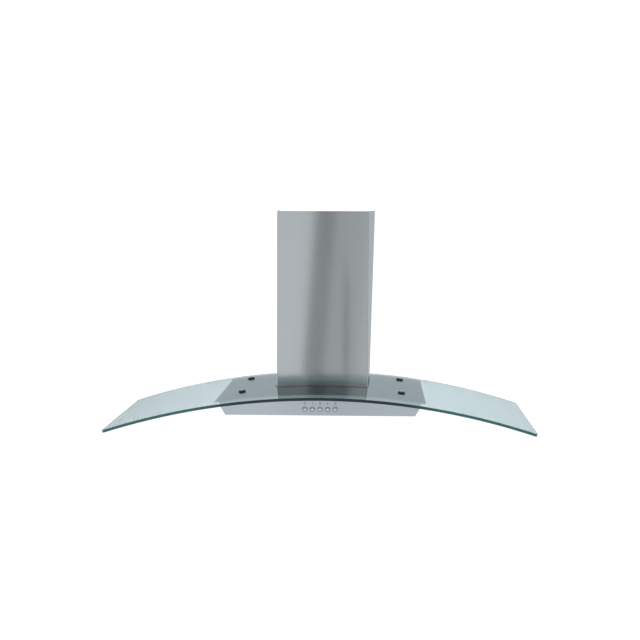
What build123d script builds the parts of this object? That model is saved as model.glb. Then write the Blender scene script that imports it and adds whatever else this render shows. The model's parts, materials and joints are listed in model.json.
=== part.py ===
"""Wall-mounted cooker hood with a curved glass canopy, 900 mm wide.

Millimetres, +X to the right, +Y towards the wall, +Z up. The origin is the centre of the four wall
fixing holes, on the wall plane, so the hood hangs in front of it and its controls face -Y.
"""

import os
from math import asin, sin, sqrt

from build123d import *

os.makedirs("parts", exist_ok=True)

# ---------------------------------------------------------------- driving dimensions
SHEET = 1.0  # folded stainless sheet
SKIN = 0.9  # chimney cover sheet
WALL_GAP = 2.0  # between the glass and the wall
RUN_GAP = 0.05  # radial clearance of a shaft in its bearing
FREE_GAP = 0.4  # clearance round a part that slides or swings

GLASS_WIDTH = 900.0
GLASS_DEPTH = 500.0
GLASS_THICK = 6.0
GLASS_RADIUS = 1450.0  # top surface
GLASS_TOP = -185.0  # height of the middle of the glass
NOTCH_WIDTH = 206.0  # cut-out for the chimney, open at the wall
NOTCH_DEPTH = 293.0
ARC_CENTRE = GLASS_TOP - GLASS_RADIUS
GLASS_CORNER = 8.0
GLASS_HOLE = 5.2
THROUGH = 40.0  # reach of a cut that passes right through the curved sheets, each way

GASKET_THICK = 2.0
GASKET_RADIUS = 11.0
PLATE_THICK = 1.2
PLATE_WIDTH = 444.0
PLATE_RADIUS = GLASS_RADIUS - GLASS_THICK - GASKET_THICK
UNDER_PLATE = PLATE_RADIUS - PLATE_THICK

BODY_DEPTH = 425.0
BODY_BOTTOM = GLASS_TOP - 47.0
BODY_HALF = 200.0  # half width at the bottom edge
BODY_SLOPE = 0.6  # sideways lean of the end walls, per unit of height
BODY_RISE = 60.0  # drawn height of the body, before the curved plate trims it
LOWER_WALL_X = 150.0  # lower wall fixings, in the body's rear wall
LOWER_WALL_RISE = 14.0
LOWER_WALL_HOLE = 3.0

FIXING_X = 173.0  # glass fixings, from the centre line
FIXING_Y = (-322.0, -74.0)
FIXING_HOLE = 2.7
BUSH_HEIGHT = 3.0
BUSH_RADIUS = 8.0
SCREW_RADIUS = 2.5
SCREW_HEAD = 4.0
SCREW_RISE = 2.6  # height of the domed head
SCREW_DOME = 2.2
SCREW_LENGTH = 17.0  # below the glass's top face
SCREW_SOCKET = 1.6
BUSH_STEM = 5.0
BUSH_TAPER = 50.0
SOCKET_DEPTH = 1.5
NUT_GAP = 0.2
NUT_RADIUS = 4.6
NUT_HEIGHT = 4.0

COVER_HALF = 99.5
COVER_DEPTH = 290.0
COVER_TOP = GLASS_TOP + 382.0
COVER_BACK = 1.0  # gap to the wall
COVER_FOLD = 1.6
COVER_REACH = 20.0  # drawn below the glass's top, before the curved plate trims it
FLARE_TOP = 13.5  # how far each side springs out at its free rear edge
FLARE_BOTTOM = 2.7

UPPER_HALF = 97.4
UPPER_BOTTOM = GLASS_TOP + 70.0
UPPER_TOP = COVER_TOP - 2.0
UPPER_FRONT = 288.0
UPPER_BACK = 4.0
CHIMNEY_SCREW_SPOT = (-UPPER_BACK - 10.0, UPPER_TOP - 14.0)  # Y and Z, on each side
BRACKET_GAUGE = 1.5
BRACKET_TAB = 18.0
BRACKET_HEIGHT = 24.0
PLAIN_HOLE = 1.7
SCREW_HOLE = 1.6
SCREW_SHANK = 1.5

BOX_HALF = 92.0
BOX_DEPTH = 282.0
BOX_BOTTOM = GLASS_TOP + 2.0
BOX_TOP = GLASS_TOP + 286.0
WALL_HOLE_X = 60.0
WALL_HOLE_Z = 75.0
WALL_HOLE = 4.0
AIR_WIDTH = 168.0  # air way from the body up into the blower box
AIR_DEPTH = 256.0
AIR_Y = -146.0
AIR_CORNER = 6.0

FAN_Y = -153.0
FAN_Z = GLASS_TOP + 140.0
FAN_RADIUS = 86.0
FAN_HALF = 58.0
BLADES = 40
SCROLL_HALF = 68.0
SCROLL_WALL = 2.0
SCROLL_STEP = 16.0  # growth of the volute for each quarter turn
SCROLL_START = 100.0
SCROLL_INLET = 64.0
ARM_SCREWS = 71.0  # radius of the circle the motor bracket's screws stand on
RIM_WIDTH = 16.0
RIM_THICK = 3.0
HUB_RADIUS = 11.0
HUB_START = 14.0
HUB_LENGTH = 18.0
SHAFT_RADIUS = 4.0
MOTOR_RADIUS = 44.0
BELL_WALL = 2.4
BOSS_RADIUS = 12.0
BEARING_RADIUS = 9.0
STATOR_START = -50.0
STATOR_LENGTH = 40.0

COLLAR_Y = -85.0
COLLAR_RADIUS = 75.0
COLLAR_BORE = 72.5
COLLAR_TOP = BOX_TOP + 48.0
FLAP_PIN_Z = BOX_TOP + 16.0
FLAP_PIN_RADIUS = 2.0

CONTROL_LENGTH = 130.0
CONTROL_DEPTH = 92.0
CONTROL_Y = -225.0
CONTROL_HEIGHT = 38.0
CONTROL_WALL = 2.0
CONTROL_CORNER = 4.0
TERMINAL_X = 22.0
TERMINAL_WIDTH = 44.0
CAPACITOR_SPOT = (-262.0, BOX_TOP - 21.0)  # Y and Z
CAPACITOR_RADIUS = 16.0
CAPACITOR_HALF = 35.0
GLAND_SPOT = (-40.0, -245.0)
WIRE_HOLE = (-35.0, -205.0)
WIRE_HOLE_RADIUS = 6.5
LEAD_RADIUS = 2.5
LAMP_LEAD_RADIUS = 2.0

BUTTONS = ("lamp", "slow", "medium", "fast", "timer")
BUTTON_PITCH = 16.0
BUTTON_Z = GLASS_TOP - 33.3
BUTTON_RADIUS = 4.7
BUTTON_RING = 0.5  # gap round each button in the body's front
BUTTON_DOME = 3.8  # rounding of the caps' rims
BUTTON_TRAVEL = 2.5
BUTTON_STEM = 3.0
BUTTON_LENGTH = 9.2
STEM_LENGTH = 20.0
SWITCH_DEPTH = 36.0

LAMP_X = 112.0
LAMP_Y = -380.0
LAMP_HOLE = 28.0
LAMP_FIT = 0.3
LAMP_DEPTH = 20.0
LAMP_LIP = 1.6

DRIVER_X = 172.0
DRIVER_Y = -386.0
DRIVER_WIDTH = 38.0
DRIVER_DEPTH = 62.0
DRIVER_HEIGHT = 17.0

FILTER_FRONT = 328.5
FILTER_BACK = 17.0
FILTER_INNER = 3.0
FILTER_OUTER = 188.0
FILTER_HEIGHT = 9.0
FILTER_RAIL = 10.0
FILTER_MESH = 2.0
FILTER_TAB_X = 60.0  # tabs and catches, each side of a filter's middle
CATCH_SHEET = 0.9
OPENING_HALF = 190.0
OPENING_FRONT = 332.0
OPENING_BACK = 14.0

fan_plane = Plane(origin=(0, FAN_Y, FAN_Z), x_dir=(0, 1, 0), z_dir=(1, 0, 0))


def keep(part, name):
    """Labels a finished piece and writes it under its own name."""
    part.label = name
    export_step(part, f"parts/{name}.step")


def fixing_plane(side, y):
    """Plane square to the glass's top surface at one glass fixing, its normal pointing out."""
    tilt = asin(FIXING_X / GLASS_RADIUS)
    height = ARC_CENTRE + sqrt(GLASS_RADIUS**2 - FIXING_X**2)
    normal = (side * sin(tilt), 0, sqrt(1 - sin(tilt) ** 2))
    return Plane(origin=(side * FIXING_X, y, height), x_dir=(0, 1, 0), z_dir=normal)


fixing_planes = [fixing_plane(side, y) for side in (-1, 1) for y in FIXING_Y]


def body_half(z):
    """Half width of the body's outside at a height."""
    return BODY_HALF + (z - BODY_BOTTOM) * BODY_SLOPE


# ---------------------------------------------------------------- glass canopy and its fixings
def curved_section(radius, thick, width):
    """Band between two arcs about the canopy's axis, trimmed to a width."""
    with Locations((0, ARC_CENTRE)):
        Circle(radius)
        Circle(radius - thick, mode=Mode.SUBTRACT)
    with Locations((0, GLASS_TOP)):
        Rectangle(width, 300, mode=Mode.INTERSECT)


with BuildPart() as glass_canopy:
    with BuildSketch(Plane.XZ.offset(WALL_GAP)):
        curved_section(GLASS_RADIUS, GLASS_THICK, GLASS_WIDTH)
    extrude(amount=GLASS_DEPTH - WALL_GAP)
    with BuildSketch(Plane.XY.offset(GLASS_TOP - THROUGH)):
        with Locations((0, -NOTCH_DEPTH / 2)):
            Rectangle(NOTCH_WIDTH, NOTCH_DEPTH)
    extrude(amount=2 * THROUGH, mode=Mode.SUBTRACT)
    fillet(glass_canopy.edges().filter_by(Axis.Z), radius=GLASS_CORNER)
    for plane in fixing_planes:
        with BuildSketch(plane.offset(THROUGH)):
            Circle(GLASS_HOLE)
        extrude(amount=-2 * THROUGH, mode=Mode.SUBTRACT)
keep(glass_canopy.part, "glass_canopy")

with BuildPart() as glass_gaskets:
    for plane in fixing_planes:
        with BuildSketch(plane.offset(-GLASS_THICK - GASKET_THICK + 0.1)):
            Circle(GASKET_RADIUS)
            Circle(FIXING_HOLE, mode=Mode.SUBTRACT)
        extrude(amount=GASKET_THICK - 0.2)
keep(glass_gaskets.part, "glass_gaskets")

with BuildPart() as glass_bushes:
    for plane in fixing_planes:
        with BuildSketch(plane.offset(RUN_GAP)):
            Circle(BUSH_RADIUS)
        extrude(amount=BUSH_HEIGHT / 2)
        with BuildSketch(plane.offset(RUN_GAP + BUSH_HEIGHT / 2)):
            Circle(BUSH_RADIUS)
        extrude(amount=BUSH_HEIGHT / 2, taper=BUSH_TAPER)
        with BuildSketch(plane.offset(RUN_GAP)):
            Circle(BUSH_STEM)
        extrude(amount=-GLASS_THICK)
        with BuildSketch(plane.offset(-GLASS_THICK - 1)):
            Circle(FIXING_HOLE)
        extrude(amount=GLASS_THICK + 8, mode=Mode.SUBTRACT)
keep(glass_bushes.part, "glass_bushes")

with BuildPart() as fixing_screw:
    Cylinder(SCREW_HEAD, SCREW_RISE, align=(Align.CENTER, Align.CENTER, Align.MIN))
    fillet(fixing_screw.faces().sort_by(Axis.Z)[-1].edges(), SCREW_DOME)
    with BuildSketch(Plane.XY.offset(SCREW_RISE)):
        RegularPolygon(radius=SCREW_SOCKET, side_count=6)
    extrude(amount=-SOCKET_DEPTH, mode=Mode.SUBTRACT)
    with BuildSketch():
        Circle(SCREW_RADIUS)
    extrude(amount=-SCREW_LENGTH - BUSH_HEIGHT)
with BuildPart() as glass_screws:
    for plane in fixing_planes:
        add(fixing_screw.part.moved(plane.offset(BUSH_HEIGHT + 2 * RUN_GAP).location))
keep(glass_screws.part, "glass_screws")

with BuildPart() as glass_nuts:
    for plane in fixing_planes:
        with BuildSketch(plane.offset(-GLASS_THICK - GASKET_THICK - PLATE_THICK - NUT_GAP)):
            RegularPolygon(radius=NUT_RADIUS, side_count=6)
            Circle(SCREW_RADIUS + RUN_GAP, mode=Mode.SUBTRACT)
        extrude(amount=-NUT_HEIGHT)
keep(glass_nuts.part, "glass_nuts")

# ---------------------------------------------------------------- body
with BuildPart() as top_plate:
    with BuildSketch(Plane.XZ):
        curved_section(PLATE_RADIUS, PLATE_THICK, PLATE_WIDTH)
    extrude(amount=BODY_DEPTH)
    with BuildSketch(Plane.XY.offset(GLASS_TOP - THROUGH)):
        with Locations((0, AIR_Y)):
            RectangleRounded(AIR_WIDTH, AIR_DEPTH, AIR_CORNER)
    extrude(amount=2 * THROUGH, mode=Mode.SUBTRACT)
    for plane in fixing_planes:
        with BuildSketch(plane.offset(THROUGH)):
            Circle(FIXING_HOLE)
        extrude(amount=-2 * THROUGH, mode=Mode.SUBTRACT)
keep(top_plate.part, "top_plate")


def body_corners(inset, height):
    """Corners of the body's trapezoid section, drawn smaller by the inset."""
    low = BODY_BOTTOM + inset
    high = BODY_BOTTOM + height
    side = inset * sqrt(1 + BODY_SLOPE**2)
    low_x = body_half(low) - side
    high_x = body_half(high) - side
    return [(-low_x, low), (low_x, low), (high_x, high), (-high_x, high)]


button_spots = [(BUTTON_PITCH * (place - 2), BUTTON_Z) for place in range(len(BUTTONS))]

with BuildPart() as body_shell:
    with BuildSketch(Plane.XZ):
        Polygon(*body_corners(0, BODY_RISE), align=None)
    extrude(amount=BODY_DEPTH)
    with BuildSketch(Plane.XZ.offset(SHEET)):
        Polygon(*body_corners(SHEET, BODY_RISE + 10), align=None)
    extrude(amount=BODY_DEPTH - 2 * SHEET, mode=Mode.SUBTRACT)
    with BuildSketch(Plane.XZ):
        with Locations((0, ARC_CENTRE)):
            Circle(UNDER_PLATE - RUN_GAP)
    extrude(amount=BODY_DEPTH, mode=Mode.INTERSECT)
    with BuildSketch(Plane.XY.offset(BODY_BOTTOM)):
        with Locations((0, -(OPENING_FRONT + OPENING_BACK) / 2)):
            Rectangle(2 * OPENING_HALF, OPENING_FRONT - OPENING_BACK)
        with Locations((-LAMP_X, LAMP_Y), (LAMP_X, LAMP_Y)):
            Circle(LAMP_HOLE)
    extrude(amount=SHEET, mode=Mode.SUBTRACT)
    with BuildSketch(Plane.XZ.offset(BODY_DEPTH)):
        with Locations(*button_spots):
            Circle(BUTTON_RADIUS + BUTTON_RING)
    extrude(amount=-SHEET, mode=Mode.SUBTRACT)
    with BuildSketch(Plane.XZ):
        with Locations((0, BODY_BOTTOM + LOWER_WALL_RISE)):
            with GridLocations(2 * LOWER_WALL_X, 0, 2, 1):
                Circle(LOWER_WALL_HOLE)
    extrude(amount=SHEET, mode=Mode.SUBTRACT)
keep(body_shell.part, "body_shell")

# ---------------------------------------------------------------- chimney covers
def cover_corners(half_front, half_back, front, back, inset):
    """Corners of a cover's plan, drawn smaller by the inset, which leaves its back open."""
    rear = 5 - back if inset else -back
    front_x = half_front - inset
    back_x = half_back - inset
    return [(-back_x, rear), (-front_x, inset - front), (front_x, inset - front), (back_x, rear)]


with BuildPart() as lower_chimney_cover:
    for inset, mode in ((0, Mode.ADD), (SKIN, Mode.SUBTRACT)):
        for height, flare in ((GLASS_TOP - COVER_REACH, FLARE_BOTTOM), (COVER_TOP, FLARE_TOP)):
            with BuildSketch(Plane.XY.offset(height)) as section:
                corners = cover_corners(COVER_HALF, COVER_HALF + flare, COVER_DEPTH, COVER_BACK, inset)
                Polygon(*corners, align=None)
                front_corners = section.vertices().group_by(Axis.Y)[0]
                fillet(front_corners, COVER_FOLD - inset)
        loft(ruled=True, mode=mode)
    with BuildSketch(Plane.XZ):
        with Locations((0, ARC_CENTRE)):
            Circle(PLATE_RADIUS + 0.1)
    extrude(amount=COVER_DEPTH + 10, mode=Mode.SUBTRACT)
keep(lower_chimney_cover.part, "lower_chimney_cover")

with BuildPart() as upper_chimney_cover:
    with BuildSketch(Plane.XY.offset(UPPER_BOTTOM)) as section:
        Polygon(*cover_corners(UPPER_HALF, UPPER_HALF, UPPER_FRONT, UPPER_BACK, 0), align=None)
        fillet(section.vertices().group_by(Axis.Y)[0], COVER_FOLD)
    extrude(amount=UPPER_TOP - UPPER_BOTTOM)
    with BuildSketch(Plane.XY.offset(UPPER_BOTTOM)) as section:
        Polygon(*cover_corners(UPPER_HALF, UPPER_HALF, UPPER_FRONT, UPPER_BACK, SKIN), align=None)
        fillet(section.vertices().group_by(Axis.Y)[0], COVER_FOLD - SKIN)
    extrude(amount=UPPER_TOP - UPPER_BOTTOM, mode=Mode.SUBTRACT)
    with BuildSketch(Plane.YZ.offset(-UPPER_HALF - 1)):
        with Locations(CHIMNEY_SCREW_SPOT):
            Circle(PLAIN_HOLE)
    extrude(amount=2 * UPPER_HALF + 2, mode=Mode.SUBTRACT)
keep(upper_chimney_cover.part, "upper_chimney_cover")

with BuildPart() as chimney_bracket:
    tab_outer = UPPER_HALF - SKIN - 0.1
    bracket_low = UPPER_TOP - 26
    with BuildSketch(Plane.XY.offset(bracket_low)):
        with BuildLine():
            Polyline(
                (-tab_outer, -UPPER_BACK - BRACKET_TAB),
                (-tab_outer, -WALL_GAP),
                (tab_outer, -WALL_GAP),
                (tab_outer, -UPPER_BACK - BRACKET_TAB),
                (tab_outer - BRACKET_GAUGE, -UPPER_BACK - BRACKET_TAB),
                (tab_outer - BRACKET_GAUGE, -WALL_GAP - BRACKET_GAUGE),
                (BRACKET_GAUGE - tab_outer, -WALL_GAP - BRACKET_GAUGE),
                (BRACKET_GAUGE - tab_outer, -UPPER_BACK - BRACKET_TAB),
                close=True,
            )
        make_face()
    extrude(amount=BRACKET_HEIGHT)
    with BuildSketch(Plane.YZ.offset(-UPPER_HALF)):
        with Locations(CHIMNEY_SCREW_SPOT):
            Circle(PLAIN_HOLE)
    extrude(amount=2 * UPPER_HALF, mode=Mode.SUBTRACT)
    with BuildSketch(Plane.XZ.offset(1)):
        with Locations((-WALL_HOLE_X, UPPER_TOP - 14), (WALL_HOLE_X, UPPER_TOP - 14)):
            Circle(3)
    extrude(amount=5, mode=Mode.SUBTRACT)
keep(chimney_bracket.part, "chimney_bracket")

with BuildPart() as chimney_bracket_screws:
    for side in (-1, 1):
        with BuildSketch(Plane.YZ.offset(side * (UPPER_HALF + 0.05))):
            with Locations(CHIMNEY_SCREW_SPOT):
                Circle(3.4)
        extrude(amount=side * 1.6)
        with BuildSketch(Plane.YZ.offset(side * (UPPER_HALF + 0.05))):
            with Locations(CHIMNEY_SCREW_SPOT):
                Circle(SCREW_HOLE)
        extrude(amount=-side * 6)
keep(chimney_bracket_screws.part, "chimney_bracket_screws")

# ---------------------------------------------------------------- blower box
with BuildPart() as inlet_frame:
    with BuildSketch(Plane.XY.offset(GLASS_TOP - 16)):
        with Locations((0, AIR_Y)):
            RectangleRounded(AIR_WIDTH + 12, AIR_DEPTH + 12, 9)
            RectangleRounded(AIR_WIDTH, AIR_DEPTH, AIR_CORNER, mode=Mode.SUBTRACT)
    extrude(amount=BOX_BOTTOM - GLASS_TOP + 16)
    with BuildSketch(Plane.XZ):
        with Locations((0, ARC_CENTRE)):
            Circle(PLATE_RADIUS + 0.1)
    extrude(amount=BODY_DEPTH, mode=Mode.SUBTRACT)
keep(inlet_frame.part, "inlet_frame")

front_screw_spots = [(x, z) for x in (-86, 86) for z in (BOX_BOTTOM + 20, BOX_BOTTOM + 142, BOX_TOP - 20)]
box_middle = (BOX_BOTTOM + BOX_TOP) / 2
box_height = BOX_TOP - BOX_BOTTOM

with BuildPart() as blower_box:
    with BuildSketch(Plane.XY.offset(BOX_BOTTOM)):
        with Locations((0, -BOX_DEPTH / 2)):
            Rectangle(2 * BOX_HALF, BOX_DEPTH)
    extrude(amount=box_height)
    with BuildSketch(Plane.XY.offset(BOX_BOTTOM + SHEET)):
        with Locations((0, -BOX_DEPTH / 2)):
            Rectangle(2 * (BOX_HALF - SHEET), BOX_DEPTH - 2 * SHEET)
    extrude(amount=box_height - 2 * SHEET, mode=Mode.SUBTRACT)
    with BuildSketch(Plane.XZ.offset(BOX_DEPTH)):
        with Locations((0, box_middle)):
            Rectangle(2 * BOX_HALF - 24, box_height - 24)
        with Locations(*front_screw_spots):
            Circle(SCREW_HOLE)
    extrude(amount=-SHEET, mode=Mode.SUBTRACT)
    with BuildSketch(Plane.XY.offset(BOX_BOTTOM)):
        with Locations((0, AIR_Y)):
            RectangleRounded(AIR_WIDTH, AIR_DEPTH, AIR_CORNER)
    extrude(amount=SHEET, mode=Mode.SUBTRACT)
    with BuildSketch(Plane.XY.offset(BOX_TOP)):
        with Locations((0, COLLAR_Y)):
            Circle(COLLAR_BORE - 4)
        with Locations(WIRE_HOLE):
            Circle(WIRE_HOLE_RADIUS)
    extrude(amount=-SHEET, mode=Mode.SUBTRACT)
    with BuildSketch(Plane.XZ):
        with GridLocations(2 * WALL_HOLE_X, 2 * WALL_HOLE_Z, 2, 2):
            Circle(WALL_HOLE)
    extrude(amount=SHEET, mode=Mode.SUBTRACT)
keep(blower_box.part, "blower_box")

with BuildPart() as blower_box_front:
    with BuildSketch(Plane.XZ.offset(BOX_DEPTH)):
        with Locations((0, box_middle)):
            Rectangle(2 * BOX_HALF, box_height)
        with Locations(*front_screw_spots):
            Circle(SCREW_HOLE, mode=Mode.SUBTRACT)
    extrude(amount=SHEET)
keep(blower_box_front.part, "blower_box_front")

with BuildPart() as box_screws:
    with BuildSketch(Plane.XZ.offset(BOX_DEPTH + SHEET)):
        with Locations(*front_screw_spots):
            Circle(3.4)
    extrude(amount=2)
    with BuildSketch(Plane.XZ.offset(BOX_DEPTH + SHEET)):
        with Locations(*front_screw_spots):
            Circle(SCREW_SHANK)
    extrude(amount=-8)
keep(box_screws.part, "box_screws")

with BuildPart() as cover_clips:
    for side in (-1, 1):
        for y in (-250, -60):
            with BuildSketch(Plane.XY.offset(BOX_BOTTOM + 20)):
                with Locations((side * (BOX_HALF + 3), y)):
                    Rectangle(6, 16)
                with Locations((side * (BOX_HALF + 3.5), y)):
                    Rectangle(5, 12, mode=Mode.SUBTRACT)
            extrude(amount=26)
keep(cover_clips.part, "cover_clips")

# ---------------------------------------------------------------- blower
def volute(grow):
    """Outline of the scroll about the fan's axis: three quarter arcs that widen by one step each."""
    half = SCROLL_STEP / 2
    first = SCROLL_START + grow
    second = first + SCROLL_STEP
    third = second + SCROLL_STEP
    outlet = BOX_TOP - SHEET - 0.1 - FAN_Z
    rear = half + third
    tongue = (38 - 1.2 * grow, first - half)
    with BuildSketch(Plane.XY) as outline:
        with BuildLine():
            Line((-half, first - half), tongue)
            Line(tongue, (-grow, outlet))
            Line((-grow, outlet), (rear, outlet))
            Line((rear, outlet), (rear, half))
            CenterArc((half, half), third, 0, -90)
            CenterArc((half, -half), second, 270, -90)
            CenterArc((-half, -half), first, 180, -90)
        make_face()
    return outline.sketch


scroll_outside = volute(SCROLL_WALL)
scroll_inside = volute(0)


def scroll_half(side):
    """One moulded half of the scroll, from the middle plane to its inlet wall."""
    with BuildPart() as half:
        with BuildSketch(fan_plane.offset(side * SCROLL_HALF)):
            add(scroll_outside)
        extrude(amount=-side * SCROLL_HALF)
        with BuildSketch(fan_plane.offset(side * (SCROLL_HALF - SCROLL_WALL))):
            add(scroll_inside)
        extrude(amount=-side * (SCROLL_HALF - SCROLL_WALL), mode=Mode.SUBTRACT)
        with BuildSketch(fan_plane.offset(side * SCROLL_HALF)):
            Circle(SCROLL_INLET)
        extrude(amount=-side * SCROLL_WALL, mode=Mode.SUBTRACT)
        with BuildSketch(fan_plane.offset(side * SCROLL_HALF)):
            with PolarLocations(ARM_SCREWS, 3, start_angle=90):
                Circle(SCREW_HOLE)
        extrude(amount=-side * SCROLL_WALL, mode=Mode.SUBTRACT)
    return half.part


keep(scroll_half(-1), "scroll_left")
keep(scroll_half(1), "scroll_right")

with BuildPart() as fan_wheel:
    with BuildSketch(fan_plane.offset(-FAN_HALF)):
        with PolarLocations(FAN_RADIUS - 8, BLADES):
            Rectangle(17, 1.4, rotation=38)
        with BuildSketch(mode=Mode.INTERSECT):
            Circle(FAN_RADIUS - 0.2)
            Circle(FAN_RADIUS - 15.5, mode=Mode.SUBTRACT)
    extrude(amount=2 * FAN_HALF)
    for start in (-FAN_HALF, FAN_HALF - RIM_THICK):
        with BuildSketch(fan_plane.offset(start)):
            Circle(FAN_RADIUS)
            Circle(FAN_RADIUS - RIM_WIDTH, mode=Mode.SUBTRACT)
        extrude(amount=RIM_THICK)
    with BuildSketch(fan_plane.offset(22)):
        Circle(FAN_RADIUS)
    extrude(amount=RIM_THICK)
    with BuildSketch(fan_plane.offset(HUB_START)):
        Circle(HUB_RADIUS)
    extrude(amount=HUB_LENGTH)
    with BuildSketch(fan_plane.offset(HUB_START)):
        Circle(SHAFT_RADIUS)
    extrude(amount=HUB_LENGTH, mode=Mode.SUBTRACT)
keep(fan_wheel.part, "fan_wheel")


def motor_bell(inner, outer):
    """End bell between two X positions: a cup over the stator's end with a boss for the bearing."""
    way = 1 if outer > inner else -1
    with BuildPart() as bell:
        with BuildSketch(fan_plane.offset(inner)):
            Circle(MOTOR_RADIUS)
            Circle(MOTOR_RADIUS - BELL_WALL, mode=Mode.SUBTRACT)
        extrude(amount=outer - inner)
        with BuildSketch(fan_plane.offset(outer)):
            Circle(MOTOR_RADIUS)
            with PolarLocations(30, 8):
                Circle(4, mode=Mode.SUBTRACT)
        extrude(amount=-way * 2.5)
        with BuildSketch(fan_plane.offset(outer + way * 6)):
            Circle(BOSS_RADIUS)
        extrude(amount=-way * 12)
        with BuildSketch(fan_plane.offset(outer + way * 6)):
            Circle(BEARING_RADIUS)
        extrude(amount=-way * 12, mode=Mode.SUBTRACT)
    return bell.part


keep(motor_bell(-46, -62), "motor_left_bell")
keep(motor_bell(-14, 2), "motor_right_bell")

with BuildPart() as motor_bearings:
    for start in (-66, -4):
        with BuildSketch(fan_plane.offset(start)):
            Circle(BEARING_RADIUS)
            Circle(SHAFT_RADIUS + RUN_GAP, mode=Mode.SUBTRACT)
        extrude(amount=10)
keep(motor_bearings.part, "motor_bearings")

with BuildPart() as motor_stator:
    with BuildSketch(fan_plane.offset(STATOR_START)):
        Circle(MOTOR_RADIUS - 2.5)
        Circle(25, mode=Mode.SUBTRACT)
    extrude(amount=STATOR_LENGTH)
keep(motor_stator.part, "motor_stator")

with BuildPart() as motor_windings:
    for start in (-57.5, -9.8):
        with BuildSketch(fan_plane.offset(start)):
            Circle(38)
            Circle(27, mode=Mode.SUBTRACT)
        extrude(amount=7.3)
    fillet(motor_windings.edges().filter_by(GeomType.CIRCLE), 2)
keep(motor_windings.part, "motor_windings")

with BuildPart() as motor_rotor:
    with BuildSketch(fan_plane.offset(STATOR_START)):
        Circle(24.5)
        Circle(SHAFT_RADIUS, mode=Mode.SUBTRACT)
    extrude(amount=STATOR_LENGTH)
keep(motor_rotor.part, "motor_rotor")

with BuildPart() as motor_shaft:
    with BuildSketch(fan_plane.offset(-67)):
        Circle(SHAFT_RADIUS)
    extrude(amount=101)
    chamfer(motor_shaft.edges().filter_by(GeomType.CIRCLE), 0.6)
keep(motor_shaft.part, "motor_shaft")

with BuildPart() as motor_bracket:
    with BuildSketch(fan_plane.offset(-SCROLL_HALF - 2)):
        Circle(76)
        Circle(66, mode=Mode.SUBTRACT)
        with PolarLocations(40, 3, start_angle=90):
            Rectangle(56, 12)
        Circle(15)
        Circle(5, mode=Mode.SUBTRACT)
        with PolarLocations(ARM_SCREWS, 3, start_angle=90):
            Circle(SCREW_HOLE, mode=Mode.SUBTRACT)
    extrude(amount=2)
keep(motor_bracket.part, "motor_bracket")

with BuildPart() as bracket_screws:
    with BuildSketch(fan_plane.offset(-SCROLL_HALF - 2)):
        with PolarLocations(ARM_SCREWS, 3, start_angle=90):
            Circle(3)
    extrude(amount=-1.8)
    with BuildSketch(fan_plane.offset(-SCROLL_HALF - 2)):
        with PolarLocations(ARM_SCREWS, 3, start_angle=90):
            Circle(SCREW_SHANK)
    extrude(amount=5)
keep(bracket_screws.part, "bracket_screws")

# ---------------------------------------------------------------- outlet collar and back-draught flaps
with BuildPart() as outlet_collar:
    with BuildSketch(Plane.XY.offset(BOX_TOP)):
        with Locations((0, COLLAR_Y)):
            RectangleRounded(168, 156, 10)
            Circle(COLLAR_BORE, mode=Mode.SUBTRACT)
    extrude(amount=3)
    with BuildSketch(Plane.XY.offset(BOX_TOP)):
        with Locations((0, COLLAR_Y)):
            Circle(COLLAR_RADIUS)
            Circle(COLLAR_BORE, mode=Mode.SUBTRACT)
    extrude(amount=COLLAR_TOP - BOX_TOP)
    with BuildSketch(Plane.XY.offset(FLAP_PIN_Z - 4.4)):
        with Locations((0, COLLAR_Y)):
            Circle(COLLAR_BORE + 0.5)
            Circle(COLLAR_BORE - 3, mode=Mode.SUBTRACT)
    extrude(amount=2)
    with BuildSketch(Plane.YZ.offset(-COLLAR_RADIUS - 1)):
        with Locations((COLLAR_Y, FLAP_PIN_Z)):
            Circle(FLAP_PIN_RADIUS)
    extrude(amount=2 * COLLAR_RADIUS + 2, mode=Mode.SUBTRACT)
keep(outlet_collar.part, "outlet_collar")

with BuildPart() as flap_pin:
    with BuildSketch(Plane.YZ.offset(-COLLAR_RADIUS + 0.2)):
        with Locations((COLLAR_Y, FLAP_PIN_Z)):
            Circle(FLAP_PIN_RADIUS)
    extrude(amount=2 * COLLAR_RADIUS - 0.4)
keep(flap_pin.part, "flap_pin")


def damper_flap(side, knuckles):
    """Half-round flap on one side of the pin, with its own knuckles on it."""
    edge = 4.3
    flap_radius = COLLAR_BORE - 0.7
    with BuildPart() as flap:
        with BuildSketch(Plane.XY.offset(FLAP_PIN_Z - 2)):
            with Locations((0, COLLAR_Y)):
                Circle(flap_radius)
            with Locations((0, COLLAR_Y + side * (edge + flap_radius / 2))):
                Rectangle(3 * flap_radius, flap_radius, mode=Mode.INTERSECT)
            with Locations(*[(x, COLLAR_Y + side * (edge / 2 + 1.4)) for x in knuckles]):
                Rectangle(16, edge - 2 + 0.6)
        extrude(amount=1.5)
        for x in knuckles:
            with BuildSketch(Plane.YZ.offset(x - 8)):
                with Locations((COLLAR_Y, FLAP_PIN_Z)):
                    Circle(3.6)
            extrude(amount=16)
        with BuildSketch(Plane.YZ.offset(-COLLAR_RADIUS)):
            with Locations((COLLAR_Y, FLAP_PIN_Z)):
                Circle(FLAP_PIN_RADIUS + RUN_GAP)
        extrude(amount=2 * COLLAR_RADIUS, mode=Mode.SUBTRACT)
    return flap.part


keep(damper_flap(-1, (-48, 12)), "front_damper_flap")
keep(damper_flap(1, (-12, 48)), "rear_damper_flap")

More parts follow.
